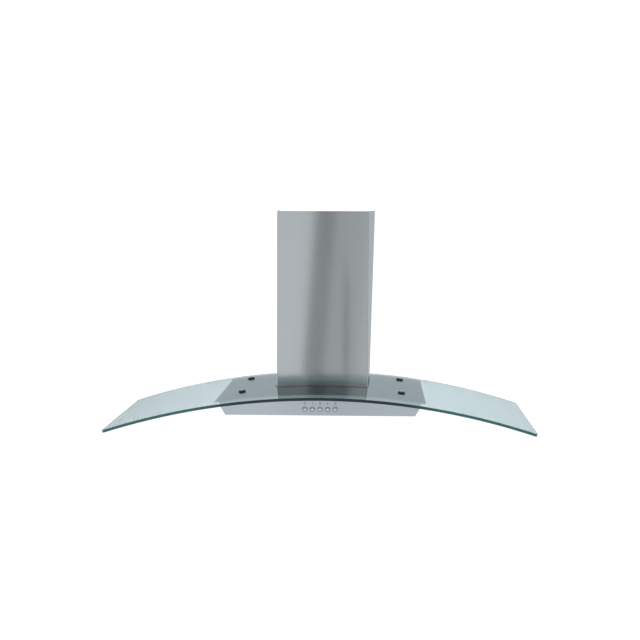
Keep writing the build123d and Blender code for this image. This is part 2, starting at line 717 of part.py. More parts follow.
# ---------------------------------------------------------------- electrics
with BuildPart() as run_capacitor:
    with BuildSketch(Plane.YZ.offset(-CAPACITOR_HALF)):
        with Locations(CAPACITOR_SPOT):
            Circle(CAPACITOR_RADIUS)
    extrude(amount=2 * CAPACITOR_HALF)
    fillet(run_capacitor.edges().filter_by(GeomType.CIRCLE), 2)
    for y in (-266, -258):
        with BuildSketch(Plane.YZ.offset(CAPACITOR_HALF)):
            with Locations((y, BOX_TOP - 21)):
                Rectangle(0.8, 6)
        extrude(amount=8)
keep(run_capacitor.part, "run_capacitor")

with BuildPart() as capacitor_clip:
    with BuildSketch(Plane.YZ.offset(-7)):
        with Locations(CAPACITOR_SPOT):
            Circle(CAPACITOR_RADIUS + 1.6)
        with Locations((-262, BOX_TOP - SHEET - 3)):
            Rectangle(30, 6)
        with Locations(CAPACITOR_SPOT):
            Circle(CAPACITOR_RADIUS + RUN_GAP, mode=Mode.SUBTRACT)
    extrude(amount=14)
keep(capacitor_clip.part, "capacitor_clip")

lid_screw_spots = [(x, y) for x in (-58, 58) for y in (-39, 39)]

with BuildPart() as control_box:
    with BuildSketch(Plane.XY.offset(BOX_TOP)):
        with Locations((0, CONTROL_Y)):
            RectangleRounded(CONTROL_LENGTH, CONTROL_DEPTH, CONTROL_CORNER)
    extrude(amount=CONTROL_HEIGHT)
    with BuildSketch(Plane.XY.offset(BOX_TOP + 2)):
        with Locations((0, CONTROL_Y)):
            RectangleRounded(CONTROL_LENGTH - 4, CONTROL_DEPTH - 4, 3)
            with Locations(*lid_screw_spots):
                Circle(4, mode=Mode.SUBTRACT)
    extrude(amount=CONTROL_HEIGHT, mode=Mode.SUBTRACT)
    with BuildSketch(Plane.XY.offset(BOX_TOP + CONTROL_HEIGHT)):
        with Locations((0, CONTROL_Y)):
            with Locations(*lid_screw_spots):
                Circle(SCREW_HOLE)
    extrude(amount=-12, mode=Mode.SUBTRACT)
    with BuildSketch(Plane.XY.offset(BOX_TOP)):
        with Locations(WIRE_HOLE):
            Circle(WIRE_HOLE_RADIUS)
    extrude(amount=CONTROL_WALL, mode=Mode.SUBTRACT)
keep(control_box.part, "control_box")

with BuildPart() as control_box_lid:
    with BuildSketch(Plane.XY.offset(BOX_TOP + CONTROL_HEIGHT)):
        with Locations((0, CONTROL_Y)):
            RectangleRounded(CONTROL_LENGTH, CONTROL_DEPTH, CONTROL_CORNER)
            with Locations(*lid_screw_spots):
                Circle(SCREW_HOLE, mode=Mode.SUBTRACT)
        with Locations(GLAND_SPOT):
            Circle(6.2, mode=Mode.SUBTRACT)
    extrude(amount=CONTROL_WALL)
keep(control_box_lid.part, "control_box_lid")

with BuildPart() as lid_screws:
    for reach, radius in ((2, 3.2), (-10, 1.5)):
        with BuildSketch(Plane.XY.offset(BOX_TOP + CONTROL_HEIGHT + 2)):
            with Locations((0, CONTROL_Y)):
                with Locations(*lid_screw_spots):
                    Circle(radius)
        extrude(amount=reach)
keep(lid_screws.part, "lid_screws")

with BuildPart() as terminal_block:
    with BuildSketch(Plane.XY.offset(BOX_TOP + 2)):
        with Locations((TERMINAL_X, CONTROL_Y)):
            Rectangle(TERMINAL_WIDTH, 22)
    extrude(amount=9)
    with BuildSketch(Plane.XY.offset(BOX_TOP + 11)):
        with Locations((TERMINAL_X, CONTROL_Y)):
            Rectangle(TERMINAL_WIDTH, 12)
    extrude(amount=7)
    with BuildSketch(Plane.XY.offset(BOX_TOP + 18)):
        with Locations((TERMINAL_X, CONTROL_Y)):
            with GridLocations(10, 0, 4, 1):
                Circle(2.6)
    extrude(amount=-5, mode=Mode.SUBTRACT)
keep(terminal_block.part, "terminal_block")

with BuildPart() as cable_gland:
    gland_face = BOX_TOP + CONTROL_HEIGHT + CONTROL_WALL
    for start, reach, radius in ((gland_face, 4, 9.5), (gland_face + 4, 8, 7.5), (gland_face, -4, 6.1)):
        with BuildSketch(Plane.XY.offset(start)):
            with Locations(GLAND_SPOT):
                Circle(radius)
        extrude(amount=reach)
    with BuildSketch(Plane.XY.offset(gland_face + 12)):
        with Locations(GLAND_SPOT):
            Circle(3.6)
    extrude(amount=-16, mode=Mode.SUBTRACT)
keep(cable_gland.part, "cable_gland")

# ---------------------------------------------------------------- push buttons
with BuildPart() as switch_block:
    with BuildSketch(Plane.XZ.offset(BODY_DEPTH - SHEET)):
        with Locations((0, BUTTON_Z)):
            RectangleRounded(88, 23, 2)
    extrude(amount=-SWITCH_DEPTH)
    with BuildSketch(Plane.XZ.offset(BODY_DEPTH - SHEET)):
        with Locations(*button_spots):
            Circle(BUTTON_RADIUS + FREE_GAP)
    extrude(amount=-9, mode=Mode.SUBTRACT)
    with BuildSketch(Plane.XZ.offset(BODY_DEPTH - SHEET)):
        with Locations(*button_spots):
            Circle(BUTTON_STEM + FREE_GAP)
    extrude(amount=-30, mode=Mode.SUBTRACT)
keep(switch_block.part, "switch_block")


def push_button(spot):
    """Domed cap on a stem that slides into the switch block."""
    cap_back = BODY_DEPTH - SHEET - 2 * BUTTON_TRAVEL
    with BuildPart() as button:
        with BuildSketch(Plane.XZ.offset(cap_back)):
            with Locations(spot):
                Circle(BUTTON_RADIUS)
        extrude(amount=BUTTON_LENGTH)
        fillet(button.faces().sort_by(Axis.Y)[0].edges(), BUTTON_DOME)
        with BuildSketch(Plane.XZ.offset(cap_back)):
            with Locations(spot):
                Circle(BUTTON_STEM)
        extrude(amount=-STEM_LENGTH)
    return button.part


for label, spot in zip(BUTTONS, button_spots):
    keep(push_button(spot), f"button_{label}")

# ---------------------------------------------------------------- lamps
for side, hand in ((-1, "left"), (1, "right")):
    spot = (side * LAMP_X, LAMP_Y)
    with BuildPart() as lamp_housing:
        with BuildSketch(Plane.XY.offset(BODY_BOTTOM)):
            with Locations(spot):
                Circle(LAMP_HOLE - LAMP_FIT)
        extrude(amount=LAMP_DEPTH)
        with BuildSketch(Plane.XY.offset(BODY_BOTTOM)):
            with Locations(spot):
                Circle(LAMP_HOLE + 5)
        extrude(amount=-LAMP_LIP)
        fillet(lamp_housing.edges().group_by(Axis.Z)[0], 0.8)
        with BuildSketch(Plane.XY.offset(BODY_BOTTOM - LAMP_LIP)):
            with Locations(spot):
                Circle(LAMP_HOLE - 2)
        extrude(amount=LAMP_DEPTH, mode=Mode.SUBTRACT)
    keep(lamp_housing.part, f"{hand}_lamp_housing")
    with BuildPart() as lamp_lens:
        with BuildSketch(Plane.XY.offset(BODY_BOTTOM - 1.4)):
            with Locations(spot):
                Circle(LAMP_HOLE - 2.1)
        extrude(amount=3)
        fillet(lamp_lens.edges().group_by(Axis.Z)[0], 0.8)
    keep(lamp_lens.part, f"{hand}_lamp_lens")
    with BuildPart() as lamp_module:
        with BuildSketch(Plane.XY.offset(BODY_BOTTOM + 18.3)):
            with Locations(spot):
                Circle(LAMP_HOLE - 4)
        extrude(amount=-2)
        with BuildSketch(Plane.XY.offset(BODY_BOTTOM + 16.3)):
            with Locations(spot):
                with PolarLocations(13, 6):
                    Circle(3)
        extrude(amount=-1.8)
    keep(lamp_module.part, f"{hand}_lamp_module")

with BuildPart() as lamp_driver:
    with BuildSketch(Plane.XY.offset(BODY_BOTTOM + SHEET)):
        with Locations((DRIVER_X, DRIVER_Y)):
            RectangleRounded(DRIVER_WIDTH, DRIVER_DEPTH, 3)
    extrude(amount=DRIVER_HEIGHT)
    fillet(lamp_driver.edges().group_by(Axis.Z)[-1], 1.5)
keep(lamp_driver.part, "lamp_driver")

# ---------------------------------------------------------------- grease filters
for side, hand in ((-1, "left"), (1, "right")):
    middle = (side * (FILTER_INNER + FILTER_OUTER) / 2, -(FILTER_FRONT + FILTER_BACK) / 2)
    width = FILTER_OUTER - FILTER_INNER
    depth = FILTER_FRONT - FILTER_BACK
    with BuildPart() as filter_frame:
        with BuildSketch(Plane.XY.offset(BODY_BOTTOM)):
            with Locations(middle):
                RectangleRounded(width, depth, 3)
                Rectangle(width - 2 * FILTER_RAIL, depth - 2 * FILTER_RAIL, mode=Mode.SUBTRACT)
        extrude(amount=FILTER_HEIGHT)
        tabs = [(middle[0] + x, -FILTER_BACK + 3) for x in (-FILTER_TAB_X, FILTER_TAB_X)]
        with BuildSketch(Plane.XY.offset(BODY_BOTTOM + SHEET + FREE_GAP)):
            with Locations(*tabs):
                Rectangle(18, 14)
        extrude(amount=1.4)
        with BuildSketch(Plane.XY.offset(BODY_BOTTOM)):
            with Locations((middle[0], -FILTER_FRONT + FILTER_RAIL / 2)):
                SlotOverall(46, 6)
        extrude(amount=-4)
        fillet(filter_frame.faces().sort_by(Axis.Z)[0].edges(), 1.5)
    keep(filter_frame.part, f"{hand}_filter_frame")
    with BuildPart() as filter_mesh:
        with BuildSketch(Plane.XY.offset(BODY_BOTTOM + 1.5)):
            with Locations(middle):
                Rectangle(width - 2 * FILTER_RAIL - 0.2, depth - 2 * FILTER_RAIL - 0.2)
        extrude(amount=FILTER_MESH)
    keep(filter_mesh.part, f"{hand}_filter_mesh")

with BuildPart() as filter_catches:
    for side in (-1, 1):
        for x in (-FILTER_TAB_X, FILTER_TAB_X):
            spot_x = side * (FILTER_INNER + FILTER_OUTER) / 2 + x
            with BuildSketch(Plane.YZ.offset(spot_x - 7)):
                with BuildLine():
                    Polyline(
                        (-OPENING_FRONT - 12, BODY_BOTTOM + SHEET),
                        (-OPENING_FRONT, BODY_BOTTOM + SHEET),
                        (-OPENING_FRONT, BODY_BOTTOM + 5),
                        (-OPENING_FRONT + 3, BODY_BOTTOM + 8),
                        (-OPENING_FRONT, BODY_BOTTOM + 11),
                        (-OPENING_FRONT - CATCH_SHEET, BODY_BOTTOM + 11),
                        (-OPENING_FRONT + 1.9, BODY_BOTTOM + 8),
                        (-OPENING_FRONT - CATCH_SHEET, BODY_BOTTOM + 5.2),
                        (-OPENING_FRONT - CATCH_SHEET, BODY_BOTTOM + SHEET + CATCH_SHEET),
                        (-OPENING_FRONT - 12, BODY_BOTTOM + SHEET + CATCH_SHEET),
                        close=True,
                    )
                make_face()
            extrude(amount=14)
keep(filter_catches.part, "filter_catches")

# ---------------------------------------------------------------- clipped leads
def lead(route, radii, radius):
    """Round lead along straight runs joined by tangent arcs."""
    with BuildPart() as wire:
        with BuildLine() as path:
            FilletPolyline(*route, radius=radii)
        start = Plane(origin=path.line @ 0, z_dir=path.line % 0)
        with BuildSketch(start):
            Circle(radius)
        sweep()
    return wire.part


wire_x, wire_y = WIRE_HOLE
side_gap = (SCROLL_HALF + BOX_HALF) / 2
motor_port = (FAN_Y - 21.2, FAN_Z + 21.2)
motor_route = [
    (wire_x - 3, wire_y, BOX_TOP + 5),
    (wire_x - 3, wire_y, BOX_TOP - 16),
    (-side_gap, wire_y, BOX_TOP - 22),
    (-side_gap, motor_port[0], motor_port[1] + 30),
    (-side_gap, motor_port[0], motor_port[1]),
    (-62.0, motor_port[0], motor_port[1]),
]
keep(lead(motor_route, [7, 9, 12, 7], LEAD_RADIUS), "motor_lead")

under_plate_z = ARC_CENTRE + sqrt(UNDER_PLATE**2 - side_gap**2) - 3.4
switch_back = -BODY_DEPTH + SHEET + SWITCH_DEPTH
switch_route = [
    (wire_x + 3, wire_y, BOX_TOP + 5),
    (wire_x + 3, wire_y, BOX_TOP - 16),
    (side_gap, wire_y, BOX_TOP - 24),
    (side_gap, wire_y, under_plate_z),
    (side_gap, switch_back + 40, under_plate_z),
    (34.0, switch_back + 22, BUTTON_Z),
    (34.0, switch_back, BUTTON_Z),
]
keep(lead(switch_route, [7, 10, 10, 14, 8], LEAD_RADIUS), "switch_lead")

lamp_lead_z = BODY_BOTTOM + 10
lamp_lead_y = LAMP_Y + LAMP_HOLE + 5
lamp_route = [
    (DRIVER_X - 8, DRIVER_Y + DRIVER_DEPTH / 2, lamp_lead_z),
    (DRIVER_X - 8, lamp_lead_y, lamp_lead_z),
    (-LAMP_X, lamp_lead_y, lamp_lead_z),
    (-LAMP_X, LAMP_Y + LAMP_HOLE - LAMP_FIT, lamp_lead_z),
]

with BuildPart() as lamp_leads:
    with BuildSketch(Plane.YZ.offset(LAMP_X + LAMP_HOLE - LAMP_FIT)):
        with Locations((LAMP_Y, lamp_lead_z)):
            Circle(LAMP_LEAD_RADIUS)
    extrude(amount=DRIVER_X - DRIVER_WIDTH / 2 - LAMP_X - LAMP_HOLE + LAMP_FIT)
    with BuildLine() as lamp_path:
        FilletPolyline(*lamp_route, radius=3.2)
    with BuildSketch(Plane(origin=lamp_path.line @ 0, z_dir=lamp_path.line % 0)):
        Circle(LAMP_LEAD_RADIUS)
    sweep()
keep(lamp_leads.part, "lamp_leads")
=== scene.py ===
"""Finishes, glass, filters and studio for a wall cooker hood with a curved glass canopy."""

import json
from math import cos, pi, radians, sin, sqrt

import bmesh
import bpy
from mathutils import Matrix, Vector


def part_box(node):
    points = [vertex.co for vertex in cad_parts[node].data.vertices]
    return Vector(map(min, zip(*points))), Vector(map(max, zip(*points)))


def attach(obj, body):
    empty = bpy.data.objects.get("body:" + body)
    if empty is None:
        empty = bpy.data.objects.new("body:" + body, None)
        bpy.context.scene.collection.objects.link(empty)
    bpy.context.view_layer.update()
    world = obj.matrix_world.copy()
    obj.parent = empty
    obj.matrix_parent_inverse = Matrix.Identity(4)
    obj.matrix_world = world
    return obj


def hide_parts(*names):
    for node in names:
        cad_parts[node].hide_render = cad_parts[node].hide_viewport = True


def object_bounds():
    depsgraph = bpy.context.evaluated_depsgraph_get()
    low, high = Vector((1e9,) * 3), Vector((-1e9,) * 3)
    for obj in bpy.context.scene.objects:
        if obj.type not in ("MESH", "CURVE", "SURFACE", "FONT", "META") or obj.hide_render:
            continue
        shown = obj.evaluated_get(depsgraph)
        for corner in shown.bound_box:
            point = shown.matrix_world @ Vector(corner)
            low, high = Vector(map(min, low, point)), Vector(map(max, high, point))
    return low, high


bl_info = {
    "name": "Curved Glass Cooker Hood",
    "version": (1, 0, 0),
    "blender": (4, 5, 0),
    "location": "View3D > Sidebar > Cooker Hood",
    "description": "Makes the glass, printed signs, filters, finishes and studio of a cooker hood",
    "category": "Object",
}

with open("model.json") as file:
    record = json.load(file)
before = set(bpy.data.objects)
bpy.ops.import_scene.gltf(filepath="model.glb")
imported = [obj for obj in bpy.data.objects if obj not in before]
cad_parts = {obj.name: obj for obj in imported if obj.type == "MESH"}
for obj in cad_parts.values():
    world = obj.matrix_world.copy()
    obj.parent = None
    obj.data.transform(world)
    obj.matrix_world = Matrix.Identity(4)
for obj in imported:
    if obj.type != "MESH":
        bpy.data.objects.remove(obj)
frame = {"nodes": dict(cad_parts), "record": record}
cad_low, cad_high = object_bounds()
nodes = frame["nodes"]
body_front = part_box("body_shell")[0].y


# ---------------------------------------------------------------- settings
def length(name, description, default):
    """A size in metres that a user may change."""
    return bpy.props.FloatProperty(
        name=name, description=description, default=default, unit="LENGTH", precision=4
    )


def amount(name, description, default):
    """A plain number that a user may change."""
    return bpy.props.FloatProperty(name=name, description=description, default=default, precision=3)


def turn(name, description, degrees):
    """An angle that a user may change."""
    return bpy.props.FloatProperty(
        name=name, description=description, default=radians(degrees), subtype="ANGLE"
    )


def colour(name, description, red, green, blue):
    """A colour that a user may change."""
    return bpy.props.FloatVectorProperty(
        name=name, description=description, default=(red, green, blue), size=3, subtype="COLOR", min=0, max=1
    )


class HoodCanopySettings(bpy.types.PropertyGroup):
    """Sizes and tints of the curved glass."""

    radius: length("Radius", "Radius of the glass's top surface", 1.45)
    top: length("Top", "Height of the middle of the glass", -0.185)
    thickness: length("Thickness", "Thickness of the glass", 0.006)
    wall_gap: length("Wall Gap", "Gap between the glass and the wall", 0.002)
    corner: length("Corner", "Radius of the glass's corners", 0.008)
    arris: length("Arris", "Width of the ground arris along each edge", 0.0008)
    notch_half: length("Notch Half Width", "Half width of the cut-out for the chimney", 0.103)
    notch_depth: length("Notch Depth", "Depth of the cut-out from the wall", 0.293)
    hole: length("Hole", "Radius of each hole for a glass fixing", 0.0052)
    hole_x: length("Hole Distance", "Distance of each hole from the middle", 0.173)
    screw_head: length("Screw Head", "Radius of the head of each fixing screw", 0.0040)
    strip: length("Strip", "Width of the strips that the curve is made of", 0.006)
    tint: colour("Tint", "Colour of light through the glass", 0.76, 0.965, 1.0)
    edge: colour("Edge", "Colour of the ground edge", 0.008, 0.026, 0.028)
    # painted light: beyond the body's width the ground edge emits this colour, standing in for daylight led
    # along the sheet
    painted_edge_light: colour("Glow", "Daylight that the sheet leads to its edge", 0.020, 0.092, 0.086)
    shaded: colour("Shaded Edge", "Colour of the ground edge beside the chimney", 0.006, 0.012, 0.012)


class HoodSteelSettings(bpy.types.PropertyGroup):
    """Colours of the stainless parts."""

    cover: colour("Chimney", "Colour of the chimney covers", 0.56, 0.605, 0.625)
    front: colour("Body", "Colour of the body", 0.665, 0.75, 0.81)
    plate: colour("Plate", "Colour of the plate under the glass", 0.46, 0.49, 0.51)


class HoodSignSettings(bpy.types.PropertyGroup):
    """Sizes of the printed signs over the buttons."""

    height: length("Height", "Height of each sign", 0.0050)
    rise: length("Rise", "Height of the signs over the middle of the buttons", 0.0122)
    print_depth: length("Print", "How far the print stands off the steel", 0.00015)
    ink: colour("Ink", "Colour of the print", 0.035, 0.038, 0.042)


class HoodFilterSettings(bpy.types.PropertyGroup):
    """Sizes of the expanded metal in the grease filters."""

    cell_x: length("Cell Width", "Width of each opening", 0.0075)
    cell_y: length("Cell Length", "Length of each opening", 0.0055)
    strand: length("Strand", "Thickness of each strand", 0.0007)


class HoodStudioSettings(bpy.types.PropertyGroup):
    """Camera and light of the studio."""

    camera_place: bpy.props.FloatVectorProperty(
        name="Camera", description="Place of the camera", default=(0.1133, -3.609, 0.2134),
        size=3, subtype="TRANSLATION", unit="LENGTH",
    )
    camera_turn: turn("Turn", "How far the camera is turned to the left", 2.05)
    camera_dip: turn("Dip", "How far the camera looks down", 4.37)
    camera_roll: turn("Roll", "How far the camera is rolled", 0.225)
    lens: amount("Lens", "Focal length in millimetres", 85.77)
    backdrop: amount("Backdrop", "Brightness of the backdrop as it is seen", 1.08)
    through_flat: amount("Through Flat", "Backdrop through glass that is seen almost edge on", 1.62)
    through_steep: amount("Through Steep", "Backdrop through glass that is seen steeply", 0.85)
    floor: length("Floor", "Height of the floor", -2.0)
    room_low: amount("Lower Room", "Brightness of the room in front, below the hood", 0.62)
    room_high: amount("Upper Room", "Brightness of the room in front, above the hood", 0.21)
    room_back: amount("Rear Room", "Brightness of the room behind the hood", 0.46)
    overhead: amount("Overhead", "Brightness of the ceiling", 0.50)
    side_light: amount("Side Light", "Brightness of the light wall on the left", 0.77)
    flag: amount("Flag", "Brightness of the dark flag beside it", 0.36)
    fill: amount("Fill", "Brightness of the wall in the middle", 0.54)
    right_light: amount("Right Light", "Brightness of the light wall on the right", 0.64)
    side_light_top: amount("Side Light Top", "Brightness of the top of the light wall", 0.25)
    flag_top: amount("Flag Top", "Brightness of the top of the dark flag", 0.09)
    fill_top: amount("Fill Top", "Brightness of the top of the middle wall", 0.15)
    right_light_top: amount("Right Light Top", "Brightness of the top of the right wall", 0.36)
    softbox: amount("Softbox", "Brightness of the softbox over the hood", 4.0)
    softbox_ahead: length("Softbox Place", "How far the softbox is before or behind the wall", 0.35)
    stand: amount("Stand", "Brightness of the dark lamp stand", 0.15)
    card_distance: length("Card Distance", "How far the light walls stand behind the camera", 8.0)
    card_slant: turn("Card Slant", "How far the lower light walls lean to one side", 4.35)
    stand_slant: turn("Stand Slant", "How far the lamp stand leans to one side", 1.0)


GROUPS = {
    "hood_canopy": HoodCanopySettings,
    "hood_steel": HoodSteelSettings,
    "hood_sign": HoodSignSettings,
    "hood_filter": HoodFilterSettings,
    "hood_studio": HoodStudioSettings,
}


# ---------------------------------------------------------------- shader nodes
class Socket:
    """An output of a node. Sums on it add Math nodes."""

    def __init__(self, tree, output):
        self.tree = tree
        self.output = output

    def maths(self, operation, *values):
        """The result of a Math node on this socket and the values."""
        inputs = dict(enumerate((self, *values)))
        return add_node(self.tree, "Math", {"operation": operation}, inputs)

    def between(self, lowest, highest):
        """This value, held between two others."""
        return self.maths("MINIMUM", highest).maths("MAXIMUM", lowest)

    def __add__(self, other):
        return self.maths("ADD", other)

    def __mul__(self, other):
        return self.maths("MULTIPLY", other)

    def __sub__(self, other):
        return self.maths("SUBTRACT", other)

    def __rsub__(self, other):
        return (self * -1) + other

    __radd__ = __add__
    __rmul__ = __mul__


def add_node(tree, kind, settings=None, values=None, output=0):
    """Adds a node, sets what it is, fills or links its inputs and gives back one output."""
    node = tree.nodes.new("ShaderNode" + kind)
    for name, value in (settings or {}).items():
        if name == "stops":
            fill_ramp(node.color_ramp, value)
        else:
            setattr(node, name, value)
    for name, value in (values or {}).items():
        if isinstance(value, Socket):
            tree.links.new(value.output, node.inputs[name])
        else:
            node.inputs[name].default_value = value
    return Socket(tree, node.outputs[output])


def fill_ramp(ramp, stops):
    """Puts stops of (place, grey or colour) on a ramp."""
    while len(ramp.elements) < len(stops):
        ramp.elements.new(0.5)
    for element, (place, shade) in zip(ramp.elements, stops):
        element.position = place
        element.color = (*shade, 1) if isinstance(shade, tuple) else (shade, shade, shade, 1)


class Finish:
    """A material with one Principled shader and the patterns that feed it."""

    def __init__(self, name, **constants):
        self.material = bpy.data.materials.new(name)
        self.material.use_nodes = True
        self.tree = self.material.node_tree
        self.shader = self.tree.nodes["Principled BSDF"]
        for socket, value in constants.items():
            self.feed(socket.replace("_", " "), value)

    def feed(self, socket, value):
        """Sets or links one input of the shader."""
        if isinstance(value, Socket):
            self.tree.links.new(value.output, self.shader.inputs[socket])
        elif isinstance(value, tuple) and len(value) == 3 and "Color" in socket:
            self.shader.inputs[socket].default_value = (*value, 1)
        else:
            self.shader.inputs[socket].default_value = value

    def node(self, kind, settings=None, values=None, output=0):
        """A node of this material."""
        return add_node(self.tree, kind, settings, values, output)

    def place(self, scale=(1, 1, 1), centre=(0, 0, 0), turned=(0, 0, 0)):
        """Object coordinates, scaled, moved and turned."""
        own = self.node("TexCoord", output="Object")
        values = {"Vector": own, "Scale": scale, "Location": centre, "Rotation": turned}
        return self.node("Mapping", {"vector_type": "POINT"}, values)

    def noise(self, where, scale, detail=2.0, roughness=0.5):
        """Soft noise from 0 to 1."""
        values = {"Vector": where, "Scale": scale, "Detail": detail, "Roughness": roughness}
        return self.node("TexNoise", None, values, "Fac")

    def cells(self, where, scale, feature="F1", output="Distance"):
        """Cells round random points."""
        return self.node("TexVoronoi", {"feature": feature}, {"Vector": where, "Scale": scale}, output)

    def ramp(self, factor, *stops):
        """Colours along a ramp."""
        return self.node("ValToRGB", {"stops": stops}, {"Fac": factor}, "Color")

    def blend(self, factor, first, second):
        """A colour between two colours."""
        first = (*first, 1) if isinstance(first, tuple) else first
        second = (*second, 1) if isinstance(second, tuple) else second
        return self.node("Mix", {"data_type": "RGBA"}, {0: factor, 6: first, 7: second}, 2)

    def bump(self, height, depth, strength=1.0):
        """Raises the surface by a height from 0 to 1 times a depth in metres."""
        values = {"Height": height, "Distance": depth, "Strength": strength}
        self.feed("Normal", self.node("Bump", None, values))

    def wear(self, dark, light, scale=9.0):
        """Feeds a colour that drifts between two tones over the piece."""
        drift = self.noise(self.place(), scale, 3.0)
        self.feed("Base Color", self.blend(drift, dark, light))
        return drift


def darker(shade, factor):
    """The same colour with every channel multiplied."""
    return tuple(min(1.0, channel * factor) for channel in shade)


# ---------------------------------------------------------------- finishes
ALONG_X = (3.0, 900.0, 900.0)  # brush grain: long along one axis and fine across it
ALONG_Y = (900.0, 3.0, 900.0)
PAINTED_LIGHT_START = 0.17  # half width of the glass over the body, where the edge gets no painted light
PAINTED_LIGHT_RATE = 12  # how fast the painted light on the edge brightens beyond that


def brushed(name, shade, grain, rough, blur, blur_turn):
    """Stainless sheet with fine parallel brush lines and faint marks of handling."""
    steel = Finish(name, Metallic=1.0, Anisotropic=blur)
    steel.feed("Anisotropic Rotation", blur_turn)
    lines = steel.noise(steel.place(grain), 1.0, 3.0, 0.6)
    coarse = steel.noise(steel.place(tuple(part * 0.2 for part in grain)), 1.0, 2.0)
    drift = steel.noise(steel.place(), 3.2, 2.0)
    tone = lines * 0.5 + coarse * 0.3 + drift * 0.2
    steel.feed("Base Color", steel.blend(tone, darker(shade, 0.90), darker(shade, 1.08)))
    steel.feed("Roughness", lines * 0.03 + drift * 0.02 + (rough - 0.025))
    steel.bump(lines, 0.000003)
    return steel.material


def galvanised(name, shade):
    """Zinc-coated sheet with its crystal spangle."""
    zinc = Finish(name, Metallic=1.0)
    crystals = zinc.cells(zinc.place(), 130.0, output="Color")
    grey = zinc.node("RGBToBW", None, {"Color": crystals})
    bloom = zinc.noise(zinc.place(), 14.0, 4.0)
    zinc.feed("Base Color", zinc.blend(grey * 0.7 + bloom * 0.3, darker(shade, 0.78), darker(shade, 1.18)))
    zinc.feed("Roughness", grey * 0.16 + bloom * 0.12 + 0.26)
    zinc.bump(grey, 0.00002, 0.5)
    return zinc.material


def moulded(name, shade, rough=0.45, grit=0.00004):
    """Moulded plastic with a fine spark-eroded texture and a little drift in its tone."""
    plastic = Finish(name, IOR=1.48)
    spark = plastic.noise(plastic.place(), 1400.0, 2.0)
    drift = plastic.wear(darker(shade, 0.86), darker(shade, 1.14))
    plastic.feed("Roughness", spark * 0.12 + drift * 0.10 + (rough - 0.11))
    plastic.bump(spark, grit)
    return plastic.material


def plated(name, shade, rough, scratch=0.5):
    """Bright metal with hairline scratches going every way."""
    metal = Finish(name, Metallic=1.0)
    fine = metal.noise(metal.place((700, 90, 240), turned=(0.4, 0.9, 0.3)), 1.0, 3.0)
    cross = metal.noise(metal.place((110, 620, 180), turned=(1.1, 0.2, 0.7)), 1.0, 3.0)
    tone = fine * 0.5 + cross * 0.5
    metal.feed("Base Color", metal.blend(tone, darker(shade, 0.88), darker(shade, 1.08)))
    metal.feed("Roughness", tone * (0.16 * scratch) + (rough - 0.08 * scratch))
    metal.bump(tone, 0.000003 * scratch)
    return metal.material


def cast(name, shade):
    """Die-cast alloy with a pebbled skin."""
    alloy = Finish(name, Metallic=1.0)
    pebble = alloy.cells(alloy.place(), 620.0, "SMOOTH_F1")
    drift = alloy.wear(darker(shade, 0.82), darker(shade, 1.06), scale=30.0)
    alloy.feed("Roughness", pebble * 0.2 + drift * 0.1 + 0.38)
    alloy.bump(pebble, 0.00006)
    return alloy.material


def laminated(name, shade):
    """Stack of thin steel sheets, edge on."""
    iron = Finish(name, Metallic=1.0)
    waves = {"wave_type": "BANDS", "bands_direction": "X"}
    sheets = iron.node("TexWave", waves, {"Vector": iron.place(), "Scale": 320.0, "Distortion": 0.4}, "Fac")
    stain = iron.noise(iron.place(), 60.0, 3.0)
    iron.feed("Base Color", iron.blend(sheets * 0.7 + stain * 0.3, darker(shade, 0.6), darker(shade, 1.3)))
    iron.feed("Roughness", stain * 0.2 + 0.35)
    iron.bump(sheets, 0.00005)
    return iron.material


def wound(name, shade):
    """Enamelled wire laid side by side round the axis."""
    copper = Finish(name, Metallic=0.85, Coat_Roughness=0.15)
    rings = {"wave_type": "RINGS", "rings_direction": "X"}
    axis = tuple(-part for part in motor_centre())
    where = copper.place(centre=axis)
    wires = copper.node("TexWave", rings, {"Vector": where, "Scale": 260.0, "Distortion": 0.8}, "Fac")
    drift = copper.noise(where, 90.0, 3.0)
    tone = wires * 0.75 + drift * 0.25
    copper.feed("Base Color", copper.blend(tone, darker(shade, 0.35), darker(shade, 1.2)))
    copper.feed("Roughness", drift * 0.2 + 0.25)
    copper.feed("Coat Weight", drift * 0.3 + 0.4)
    copper.bump(wires, 0.0003)
    return copper.material


def motor_centre():
    """The middle of the motor."""
    low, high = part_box("motor_stator")
    return (low + high) / 2


def sintered(name, shade):
    """Bronze pressed from powder, with open pores and oil."""
    bronze = Finish(name, Metallic=0.9)
    pores = bronze.cells(bronze.place(), 2400.0)
    bronze.feed("Base Color", bronze.blend(pores, darker(shade, 0.6), darker(shade, 1.25)))
    bronze.feed("Roughness", pores * 0.3 + 0.3)
    bronze.bump(pores, 0.00005)
    return bronze.material


def rubber(name, shade):
    """Dull rubber with a dusty bloom."""
    soft = Finish(name)
    dust = soft.noise(soft.place(), 400.0, 4.0)
    soft.feed("Base Color", soft.blend(dust, darker(shade, 0.7), darker(shade, 1.6)))
    soft.feed("Roughness", dust * 0.2 + 0.62)
    soft.bump(dust, 0.00004)
    return soft.material


def sheathed(name, shade):
    """Drawn cable sheath, slightly glossy, with faint ripples."""
    sheath = Finish(name, Coat_Roughness=0.3)
    ripple = sheath.noise(sheath.place(), 260.0, 2.0)
    sheath.wear(darker(shade, 0.88), darker(shade, 1.05), scale=40.0)
    sheath.feed("Roughness", ripple * 0.15 + 0.38)
    sheath.feed("Coat Weight", ripple * 0.2 + 0.1)
    sheath.bump(ripple, 0.00008)
    return sheath.material


def frosted(name, shade):
    """Lamp window with a prismatic inner face."""
    lens = Finish(name, IOR=1.49, Transmission_Weight=0.75)
    prisms = lens.cells(lens.place(), 420.0, "SMOOTH_F1")
    lens.feed("Base Color", lens.blend(prisms, darker(shade, 0.92), darker(shade, 1.0)))
    lens.feed("Roughness", prisms * 0.25 + 0.22)
    lens.bump(prisms, 0.0004)
    return lens.material


